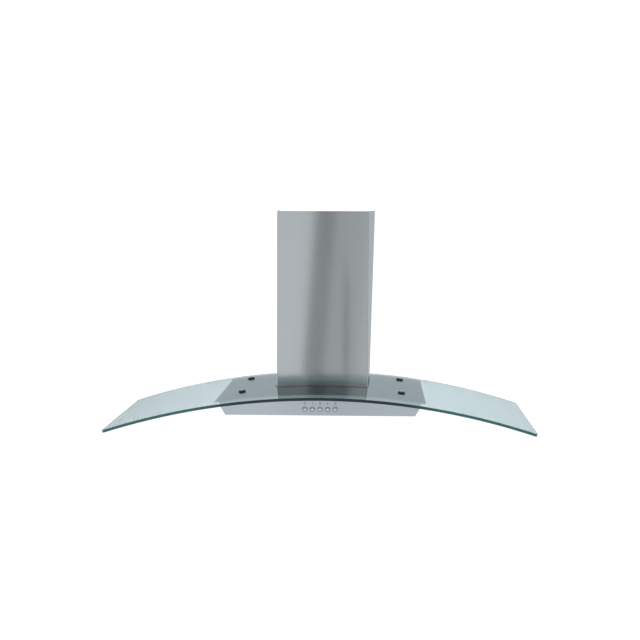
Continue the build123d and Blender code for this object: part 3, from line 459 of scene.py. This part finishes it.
def lamp_plate(name, shade):
    """White board with yellow light emitters and solder specks."""
    board = Finish(name, Coat_Roughness=0.2, Emission_Strength=0.25)
    specks = board.cells(board.place(), 260.0)
    drift = board.noise(board.place(), 120.0, 3.0)
    board.feed("Base Color", board.ramp(specks, (0.10, (0.70, 0.69, 0.66)), (0.22, shade)))
    board.feed("Emission Color", board.blend(drift, (1.0, 0.93, 0.80), (1.0, 0.97, 0.90)))
    board.feed("Coat Weight", drift * 0.4 + 0.2)
    board.feed("Roughness", drift * 0.2 + 0.3)
    return board.material


def clear_glass(name, shade):
    """Float glass with a faint drift in its tint."""
    glass = Finish(name, IOR=1.5, Transmission_Weight=1.0, Roughness=0.0)
    drift = glass.noise(glass.place(), 2.5, 2.0)
    glass.feed("Base Color", glass.blend(drift, darker(shade, 0.97), darker(shade, 1.0)))
    return glass.material


def glass_edge_painted_light(name, shade, painted_edge_light):
    """Ground edge of the glass, with painted light: beyond the body's width it glows with a set colour,
    standing in for daylight that the sheet leads to its edge.
    """
    edge = Finish(name, IOR=1.5, Transmission_Weight=0.1, Coat_Roughness=0.05, Emission_Strength=1.0)
    streak = edge.noise(edge.place((60, 60, 900)), 1.0, 3.0)
    edge.feed("Base Color", edge.blend(streak, darker(shade, 0.8), darker(shade, 1.25)))
    edge.feed("Roughness", streak * 0.1 + 0.08)
    edge.feed("Coat Weight", streak * 0.1)
    across = edge.node("SeparateXYZ", values={"Vector": edge.node("TexCoord", output="Object")}, output="X")
    # painted light: the edge glows with the set colour clear of the body's width and stays dark over it
    painted_light_mask = ((across.maths("ABSOLUTE") - PAINTED_LIGHT_START) * PAINTED_LIGHT_RATE).between(0.02, 1.0)
    edge.feed("Emission Color", edge.blend(painted_light_mask, (0, 0, 0), painted_edge_light))
    return edge.material


def printed(name, shade):
    """Screen-printed ink."""
    ink = Finish(name)
    grain = ink.noise(ink.place(), 1800.0, 2.0)
    ink.feed("Base Color", ink.blend(grain, darker(shade, 0.8), darker(shade, 1.3)))
    ink.feed("Roughness", grain * 0.15 + 0.4)
    return ink.material


def finishes():
    """Every material slot's finish, by the slot's name."""
    steel = bpy.context.scene.hood_steel
    scene = bpy.context.scene
    return {
        "stainless_front": brushed("brushed_body", tuple(steel.front), ALONG_X, 0.2, 0.85, 0.25),
        "stainless_cover": brushed("brushed_chimney", tuple(steel.cover), ALONG_X, 0.068, 1.0, 0.26),
        "stainless_plate": brushed("brushed_plate", tuple(steel.plate), ALONG_X, 0.22, 0.6, 0.0),
        "canopy_glass": clear_glass("tinted_glass", tuple(scene.hood_canopy.tint)),
        "glass_edge": glass_edge_painted_light(
            "ground_glass_edge_painted_light", tuple(scene.hood_canopy.edge), tuple(scene.hood_canopy.painted_edge_light)
        ),
        "shaded_edge": glass_edge_painted_light("shaded_glass_edge", tuple(scene.hood_canopy.shaded), (0, 0, 0)),
        "black_bush": moulded("black_nylon_bush", (0.018, 0.019, 0.021), 0.32),
        "rubber_gasket": rubber("black_rubber", (0.03, 0.03, 0.031)),
        "bright_screw": plated("satin_screw", (0.86, 0.87, 0.88), 0.45),
        "zinc_fastener": plated("zinc_plate", (0.60, 0.62, 0.64), 0.30, 0.8),
        "galvanised_sheet": galvanised("galvanised_steel", (0.56, 0.58, 0.60)),
        "scroll_plastic": moulded("dark_moulding", (0.11, 0.115, 0.12), 0.5, 0.00006),
        "flap_plastic": moulded("light_moulding", (0.52, 0.53, 0.54), 0.5),
        "flap_pin_steel": plated("ground_steel", (0.68, 0.69, 0.70), 0.22),
        "fan_plastic": moulded("fan_moulding", (0.03, 0.03, 0.033), 0.42),
        "motor_casting": cast("motor_alloy", (0.62, 0.63, 0.64)),
        "motor_iron": laminated("motor_laminations", (0.30, 0.30, 0.31)),
        "motor_copper": wound("copper_winding", (0.72, 0.33, 0.14)),
        "bearing_bronze": sintered("bearing_bronze_sinter", (0.60, 0.42, 0.20)),
        "capacitor_can": moulded("capacitor_white", (0.78, 0.78, 0.75), 0.35),
        "control_plastic": moulded("control_grey", (0.66, 0.66, 0.63), 0.48),
        "gland_plastic": moulded("gland_nylon", (0.022, 0.022, 0.023), 0.4),
        "switch_black": moulded("switch_moulding", (0.02, 0.02, 0.021), 0.5),
        "lead_sheath": sheathed("lead_sheath_white", (0.74, 0.74, 0.71)),
        "button_chrome": plated("button_chrome_plate", (0.84, 0.85, 0.86), 0.10, 0.4),
        "lamp_trim": plated("lamp_trim_satin", (0.64, 0.65, 0.66), 0.26, 0.8),
        "lamp_glass": frosted("lamp_window", (0.95, 0.96, 0.96)),
        "lamp_board": lamp_plate("lamp_board_white", (0.90, 0.88, 0.80)),
        "filter_aluminium": brushed("filter_rail", (0.72, 0.73, 0.74), ALONG_Y, 0.28, 0.5, 0.0),
        "filter_mesh": plated("expanded_aluminium", (0.70, 0.71, 0.72), 0.30, 0.9),
        "sign_ink": printed("sign_ink_grey", tuple(scene.hood_sign.ink)),
    }


# ---------------------------------------------------------------- meshes
BESIDE_NOTCH = 2  # material index of the strips whose edge is shaded by the chimney


def new_piece(name, mesh_maker, body, material_names, smooth=True):
    """Makes an object from a bmesh and rides it on a body of the frame."""
    mesh = bpy.data.meshes.new(name)
    mesh_maker.to_mesh(mesh)
    mesh_maker.free()
    for polygon in mesh.polygons:
        polygon.use_smooth = smooth
    for material_name in material_names:
        mesh.materials.append(bpy.data.materials[material_name])
    piece = bpy.data.objects.new(name, mesh)
    bpy.context.scene.collection.objects.link(piece)
    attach(piece, body)
    return piece


def fixing_spots(values):
    """Places of the four glass fixings in plan."""
    low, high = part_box("glass_screws")
    rows = (low.y + values.screw_head, high.y - values.screw_head)
    return [Vector((side * values.hole_x, y, 0)) for side in (-1, 1) for y in rows]


def glass_sheet(values):
    """The top face of the canopy: its plan cut from a flat sheet, then bent over the arc."""
    sheet = bmesh.new()
    half, front, back = cad_high.x, cad_low.y, -values.wall_gap
    inner, deep = values.notch_half, -values.notch_depth
    plan = [
        (-half, front), (half, front), (half, back), (inner, back),
        (inner, deep), (-inner, deep), (-inner, back), (-half, back),
    ]
    outline = sheet.faces.new([sheet.verts.new((x, y, 0)) for x, y in plan])
    bmesh.ops.bevel(
        sheet, geom=list(outline.verts), offset=values.corner, offset_type="OFFSET",
        affect="VERTICES", segments=6, profile=0.5, material=-1,
    )
    bmesh.ops.delete(sheet, geom=list(sheet.faces), context="FACES_ONLY")
    for spot in fixing_spots(values):
        bmesh.ops.create_circle(
            sheet, segments=24, radius=values.hole, matrix=Matrix.Translation(spot)
        )
    bmesh.ops.triangle_fill(sheet, edges=list(sheet.edges), use_beauty=True, normal=(0, 0, 1))
    cuts = round(2 * half / values.strip)
    for cut in range(1, cuts):
        whole = list(sheet.verts) + list(sheet.edges) + list(sheet.faces)
        line = (2 * half * cut / cuts - half, 0, 0)
        bmesh.ops.bisect_plane(sheet, geom=whole, plane_co=line, plane_no=(1, 0, 0), dist=1e-7)
    centre = values.top - values.radius
    for vertex in sheet.verts:
        vertex.co.z = centre + sqrt(values.radius**2 - vertex.co.x**2)
    bmesh.ops.recalc_face_normals(sheet, faces=list(sheet.faces))
    if sum(face.normal.z for face in sheet.faces) < 0:
        bmesh.ops.reverse_faces(sheet, faces=list(sheet.faces))
    for edge in sheet.edges:
        middle = (edge.verts[0].co + edge.verts[1].co) / 2
        beside = abs(abs(middle.x) - inner) < values.arris and middle.y > deep
        if edge.is_boundary and beside:
            edge.link_faces[0].material_index = BESIDE_NOTCH
    return sheet


class HOOD_OT_canopy(bpy.types.Operator):
    """Makes the curved glass with its notch, drilled holes and ground edge"""

    bl_idname = "hood.canopy"
    bl_label = "Glass Canopy"

    def execute(self, context):
        values = context.scene.hood_canopy
        sheet = glass_sheet(values)
        materials = ("tinted_glass", "ground_glass_edge_painted_light", "tinted_glass", "shaded_glass_edge")
        canopy = new_piece("canopy_of_glass", sheet, "hood", materials)
        wall = canopy.modifiers.new("thickness", "SOLIDIFY")
        wall.thickness = values.thickness
        wall.offset = -1
        wall.material_offset_rim = 1
        arris = canopy.modifiers.new("arris", "BEVEL")
        arris.width = values.arris
        arris.segments = 2
        arris.limit_method = "ANGLE"
        arris.angle_limit = radians(50)
        arris.harden_normals = True
        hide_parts("glass_canopy")
        return {"FINISHED"}


def thin_block(maker, spot, size, depth):
    """Adds a thin block that stands off the front of the body, towards the user."""
    made = bmesh.ops.create_cube(maker, size=1)["verts"]
    scale = Matrix.Diagonal((size[0], depth, size[1], 1))
    bmesh.ops.transform(maker, matrix=Matrix.Translation(spot) @ scale, verts=made)
    return made


def ring(maker, spot, radius, line, depth, segments=24):
    """Adds a flat ring that stands off the front of the body, towards the user."""
    facing = Matrix.Translation(spot) @ Matrix.Rotation(pi / 2, 4, "X")
    inner = bmesh.ops.create_circle(maker, segments=segments, radius=radius - line, matrix=facing)
    edges = list({edge for vertex in inner["verts"] for edge in vertex.link_edges})
    made = bmesh.ops.extrude_edge_only(maker, edges=edges)["geom"]
    outer = [part for part in made if isinstance(part, bmesh.types.BMVert)]
    grow = radius / (radius - line)
    centre = Matrix.Translation(spot)
    bmesh.ops.scale(maker, vec=(grow, grow, grow), space=centre.inverted(), verts=outer)
    faces = [part for part in made if isinstance(part, bmesh.types.BMFace)]
    raised = bmesh.ops.extrude_face_region(maker, geom=faces)["geom"]
    lifted = [part for part in raised if isinstance(part, bmesh.types.BMVert)]
    bmesh.ops.translate(maker, vec=(0, -depth, 0), verts=lifted)


def lamp_sign(maker, spot, size, depth):
    """A lamp: a ring with short rays."""
    ring(maker, spot, size * 0.26, size * 0.09, depth)
    for ray in range(8):
        angle = ray * pi / 4
        reach = size * 0.42
        place = spot + Vector((reach * cos(angle), -depth / 2, reach * sin(angle)))
        block = thin_block(maker, Vector((0, 0, 0)), (size * 0.18, size * 0.07), depth)
        swing = Matrix.Translation(place) @ Matrix.Rotation(-angle, 4, "Y")
        bmesh.ops.transform(maker, matrix=swing, verts=block)


def clock_sign(maker, spot, size, depth):
    """A clock face with two hands."""
    ring(maker, spot, size * 0.5, size * 0.09, depth)
    wide = size * 0.08
    for high, angle in ((size * 0.30, 0.0), (size * 0.22, -pi / 2)):
        block = thin_block(maker, Vector((0, -depth / 2, high / 2)), (wide, high), depth)
        swing = Matrix.Translation(spot) @ Matrix.Rotation(-angle, 4, "Y")
        bmesh.ops.transform(maker, matrix=swing, verts=block)


def figure_sign(maker, spot, size, depth, figure):
    """A figure for one fan speed."""
    text = bpy.data.curves.new("figure", "FONT")
    text.body = figure
    text.size = size * 1.45
    text.align_x = "CENTER"
    text.extrude = depth / 2
    text.resolution_u = 4
    holder = bpy.data.objects.new("figure", text)
    mesh = bpy.data.meshes.new_from_object(holder)
    facing = Matrix.Translation(spot + Vector((0, -depth / 2, -size / 2))) @ Matrix.Rotation(pi / 2, 4, "X")
    mesh.transform(facing)
    maker.from_mesh(mesh)
    bpy.data.objects.remove(holder)
    bpy.data.curves.remove(text)
    bpy.data.meshes.remove(mesh)


class HOOD_OT_signs(bpy.types.Operator):
    """Prints a lamp, three figures and a clock over the push buttons"""

    bl_idname = "hood.signs"
    bl_label = "Button Signs"

    def execute(self, context):
        values = context.scene.hood_sign
        signs = {
            "lamp": lamp_sign,
            "slow": lambda *where: figure_sign(*where, "1"),
            "medium": lambda *where: figure_sign(*where, "2"),
            "fast": lambda *where: figure_sign(*where, "3"),
            "timer": clock_sign,
        }
        for label, draw in signs.items():
            low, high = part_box(f"button_{label}")
            middle = (low + high) / 2
            spot = Vector((middle.x, body_front, middle.z + values.rise))
            maker = bmesh.new()
            draw(maker, spot, values.height, values.print_depth)
            bmesh.ops.remove_doubles(maker, verts=list(maker.verts), dist=1e-7)
            bmesh.ops.recalc_face_normals(maker, faces=list(maker.faces))
            new_piece(f"{label}_sign", maker, "hood", ("sign_ink_grey",), smooth=False)
        return {"FINISHED"}


def expanded_sheet(maker, low, high, values, height, shift):
    """Adds one layer of expanded metal: a lattice of diamonds with strands of real thickness."""
    size = high - low
    across = round(size.x / values.cell_x)
    along = round(size.y / values.cell_y)
    layer = bmesh.new()
    bmesh.ops.create_grid(layer, x_segments=across, y_segments=along, size=0.5)
    old = list(layer.edges)
    bmesh.ops.poke(layer, faces=list(layer.faces))
    inner = [edge for edge in old if edge.is_valid and not edge.is_boundary]
    bmesh.ops.dissolve_edges(layer, edges=inner, use_verts=False)
    middle = (low + high) / 2
    inset = 2 * values.strand
    stretch = Matrix.Diagonal((size.x - inset, size.y - inset, 1, 1))
    place = Matrix.Translation((middle.x + shift[0], middle.y + shift[1], height))
    bmesh.ops.transform(layer, matrix=place @ stretch, verts=list(layer.verts))
    bmesh.ops.wireframe(
        layer, faces=list(layer.faces), thickness=values.strand, offset=0, use_replace=True,
        use_boundary=True, use_even_offset=False, use_crease=False, material_offset=0,
    )
    mesh = bpy.data.meshes.new("layer")
    layer.to_mesh(mesh)
    layer.free()
    maker.from_mesh(mesh)
    bpy.data.meshes.remove(mesh)


class HOOD_OT_filters(bpy.types.Operator):
    """Makes the layers of expanded metal in both grease filters"""

    bl_idname = "hood.filters"
    bl_label = "Grease Filters"

    def execute(self, context):
        values = context.scene.hood_filter
        for hand in ("left", "right"):
            low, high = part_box(f"{hand}_filter_mesh")
            maker = bmesh.new()
            step = (high.z - low.z) / 2
            expanded_sheet(maker, low, high, values, low.z + step * 0.5, (0, 0))
            expanded_sheet(maker, low, high, values, high.z - step * 0.2, (values.strand, values.strand))
            mesh = new_piece(
                f"{hand}_expanded_mesh", maker, f"{hand}_filter",
                ("expanded_aluminium",), smooth=False,
            )
            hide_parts(f"{hand}_filter_mesh")
        return {"FINISHED"}


class HOOD_OT_finishes(bpy.types.Operator):
    """Makes every finish and gives each part of the frame the one for its slot"""

    bl_idname = "hood.finishes"
    bl_label = "Finishes"

    def execute(self, context):
        made = finishes()
        for part in frame["record"]["subparts"]:
            mesh = nodes[part["node"]].data
            mesh.materials.clear()
            mesh.materials.append(made[part["material_slot"]])
        return {"FINISHED"}


# ---------------------------------------------------------------- studio
LOWER_EDGES = (-6.0, -0.558, -0.357, -0.03, 6.0)  # upright edges of the light walls, left to right
UPPER_EDGES = (-6.0, -0.586, -0.338, -0.014, 6.0)
ROOM_LOW, CARD_SEAM, ROOM_HIGH = -3.2, 0.85, 3.2  # heights where the light walls start, meet and end
SOFTBOX_SIZE = (1.6, 0.9)
SOFTBOX_HEIGHT = 2.4
STAND_SIDES = (-0.172, -0.142)
STAND_ENDS = (-1.5, -0.45)
STAND_AHEAD = 0.1  # in front of the light walls
FLOOR_SIZE = (30, 30)
FLAT_SLOPE = 0.14  # the steepest view in which glass still shows the flat brightness
SLOPE_RATE = 5  # how fast it goes over to the steep one


def seen_directly(tree):
    """1 where a ray comes from the camera or through glass, 0 where it lights or is mirrored."""
    mirrored = add_node(tree, "LightPath", output="Glossy Depth")
    scattered = add_node(tree, "LightPath", output="Diffuse Depth")
    return (mirrored + scattered).maths("LESS_THAN", 0.5)


def backdrop_white(tree, values, slope):
    """How bright the backdrop looks, by itself or through glass, where the view slopes this much."""
    steep = ((slope - FLAT_SLOPE) * SLOPE_RATE).between(0.0, 1.0)
    through = steep * (values.through_steep - values.through_flat) + values.through_flat
    camera = add_node(tree, "LightPath", output="Is Camera Ray")
    return through + camera * (through * -1 + values.backdrop)


def pale_floor(values):
    """A plain pale floor that runs into the backdrop without an edge."""
    material = bpy.data.materials.new("pale_floor")
    material.use_nodes = True
    tree = material.node_tree
    tree.nodes.clear()
    spot = add_node(tree, "TexCoord", output="Object")
    away = add_node(tree, "VectorMath", {"operation": "LENGTH"}, {"Vector": spot}, "Value")
    slope = away.maths("POWER", -1) * abs(values.floor)
    white = backdrop_white(tree, values, slope)
    strength = seen_directly(tree) * (white - values.room_low) + values.room_low
    light = add_node(tree, "Emission", None, {"Strength": strength})
    output = tree.nodes.new("ShaderNodeOutputMaterial")
    tree.links.new(light.output, output.inputs["Surface"])
    stage_plane("floor", FLOOR_SIZE, (0, 0, values.floor), material)


def room(values):
    """The room as the steel mirrors it: pale below, dim in front above, lighter overhead."""
    world = bpy.data.worlds.new("studio_room")
    world.use_nodes = True
    tree = world.node_tree
    tree.nodes.clear()
    direction = add_node(tree, "TexCoord", output="Generated")
    split = add_node(tree, "SeparateXYZ", values={"Vector": direction}, output="Z")
    ahead = add_node(tree, "SeparateXYZ", values={"Vector": direction}, output="Y")
    height = split * 0.5 + 0.5
    front_stops = (
        (0.0, values.room_low), (0.475, values.room_low), (0.53, values.room_high),
        (0.66, values.room_high), (0.85, values.overhead),
    )
    back_stops = (
        (0.0, values.room_low), (0.48, values.room_back), (0.62, values.room_back),
        (0.85, values.overhead),
    )
    front = add_node(tree, "ValToRGB", {"stops": front_stops}, {"Fac": height})
    back = add_node(tree, "ValToRGB", {"stops": back_stops}, {"Fac": height})
    side = (ahead * 4 + 0.5).between(0.0, 1.0)
    around = add_node(tree, "Mix", {"data_type": "RGBA"}, {0: side, 6: front, 7: back}, 2)
    tint = {0: 1.0, 6: around, 7: (0.93, 1.0, 1.04, 1)}
    cool = add_node(tree, "Mix", {"data_type": "RGBA", "blend_type": "MULTIPLY"}, tint, 2)
    white = backdrop_white(tree, values, split.maths("ABSOLUTE"))
    shown = add_node(tree, "Mix", {"data_type": "RGBA"}, {0: seen_directly(tree), 6: cool, 7: white}, 2)
    light = add_node(tree, "Background", None, {"Color": shown})
    output = tree.nodes.new("ShaderNodeOutputWorld")
    tree.links.new(light.output, output.inputs["Surface"])
    bpy.context.scene.world = world


def glowing(name, brightness):
    """Stage material of one even brightness."""
    material = bpy.data.materials.new(name)
    material.use_nodes = True
    tree = material.node_tree
    tree.nodes.clear()
    light = add_node(tree, "Emission", None, {"Strength": brightness})
    output = tree.nodes.new("ShaderNodeOutputMaterial")
    tree.links.new(light.output, output.inputs["Surface"])
    return material


def stage_plane(name, size, place, material, raised=0.0, slant=0.0):
    """A flat rectangle of the studio, raised from the level about X and slanted about Y."""
    maker = bmesh.new()
    bmesh.ops.create_grid(maker, x_segments=1, y_segments=1, size=0.5)
    scale = Matrix.Diagonal((*size, 1, 1))
    tilt = Matrix.Rotation(slant, 4, "Y") @ Matrix.Rotation(raised, 4, "X")
    bmesh.ops.transform(maker, matrix=Matrix.Translation(place) @ tilt @ scale, verts=list(maker.verts))
    mesh = bpy.data.meshes.new(name)
    maker.to_mesh(mesh)
    maker.free()
    mesh.materials.append(material)
    plane = bpy.data.objects.new(name, mesh)
    bpy.context.scene.collection.objects.link(plane)
    return plane


def hide_from_camera(plane):
    """Leaves a plane to light the hood and be mirrored, and nothing else."""
    plane.visible_camera = False
    plane.visible_transmission = False


def card(name, left, right, bottom, top, ahead, brightness, slant):
    """An upright light wall that the steel mirrors and the camera doesn't see."""
    middle = ((left + right) / 2, ahead, (bottom + top) / 2)
    size = (right - left, top - bottom)
    hide_from_camera(stage_plane(name, size, middle, glowing(name, brightness), pi / 2, slant))


def card_row(name, edges, bottom, top, ahead, brightnesses, slant):
    """Light walls side by side, each from one upright edge to the next."""
    for number, brightness in enumerate(brightnesses):
        left, right = edges[number : number + 2]
        card(f"{name}_card_{number + 1}", left, right, bottom, top, ahead, brightness, slant)


class HOOD_OT_studio(bpy.types.Operator):
    """Sets the camera, floor, room and light walls"""

    bl_idname = "hood.studio"
    bl_label = "Studio"

    def execute(self, context):
        values = context.scene.hood_studio
        lens = bpy.data.cameras.new("camera")
        lens.lens = values.lens
        camera = bpy.data.objects.new("camera", lens)
        upright = Matrix.Rotation(pi / 2 - values.camera_dip, 4, "X")
        swing = Matrix.Rotation(values.camera_turn, 4, "Z")
        roll = Matrix.Rotation(values.camera_roll, 4, "Z")
        camera.matrix_world = Matrix.Translation(values.camera_place) @ swing @ upright @ roll
        context.scene.collection.objects.link(camera)
        context.scene.camera = camera
        context.scene.view_settings.view_transform = "Standard"
        room(values)
        pale_floor(values)
        behind = values.camera_place[1] - values.card_distance
        low = (values.side_light, values.flag, values.fill, values.right_light)
        high = (values.side_light_top, values.flag_top, values.fill_top, values.right_light_top)
        card_row("lower", LOWER_EDGES, ROOM_LOW, CARD_SEAM, behind, low, values.card_slant)
        card_row("upper", UPPER_EDGES, CARD_SEAM, ROOM_HIGH, behind, high, 0.0)
        softbox = glowing("softbox_light", values.softbox)
        softbox_place = (0, values.softbox_ahead, SOFTBOX_HEIGHT)
        hide_from_camera(stage_plane("softbox", SOFTBOX_SIZE, softbox_place, softbox))
        card("stand", *STAND_SIDES, *STAND_ENDS, behind + STAND_AHEAD, values.stand, values.stand_slant)
        return {"FINISHED"}


class HOOD_PT_panel(bpy.types.Panel):
    """Lists the hood's pieces in the sidebar"""

    bl_idname = "HOOD_PT_panel"
    bl_label = "Cooker Hood"
    bl_space_type = "VIEW_3D"
    bl_region_type = "UI"
    bl_category = "Cooker Hood"

    def draw(self, context):
        for operator in OPERATORS:
            self.layout.operator(operator.bl_idname)
        for group_name, group in GROUPS.items():
            box = self.layout.box()
            box.label(text=group.__doc__)
            for setting in group.__annotations__:
                box.prop(getattr(context.scene, group_name), setting)


OPERATORS = (HOOD_OT_finishes, HOOD_OT_canopy, HOOD_OT_signs, HOOD_OT_filters, HOOD_OT_studio)
CLASSES = (*GROUPS.values(), *OPERATORS, HOOD_PT_panel)


def register():
    for cls in CLASSES:
        bpy.utils.register_class(cls)
    for name, group in GROUPS.items():
        setattr(bpy.types.Scene, name, bpy.props.PointerProperty(type=group))


def unregister():
    for name in GROUPS:
        delattr(bpy.types.Scene, name)
    for cls in reversed(CLASSES):
        bpy.utils.unregister_class(cls)


def main():
    register()
    bpy.ops.hood.finishes()
    bpy.ops.hood.canopy()
    bpy.ops.hood.signs()
    bpy.ops.hood.filters()
    bpy.ops.hood.studio()


if __name__ == "__main__":
    main()
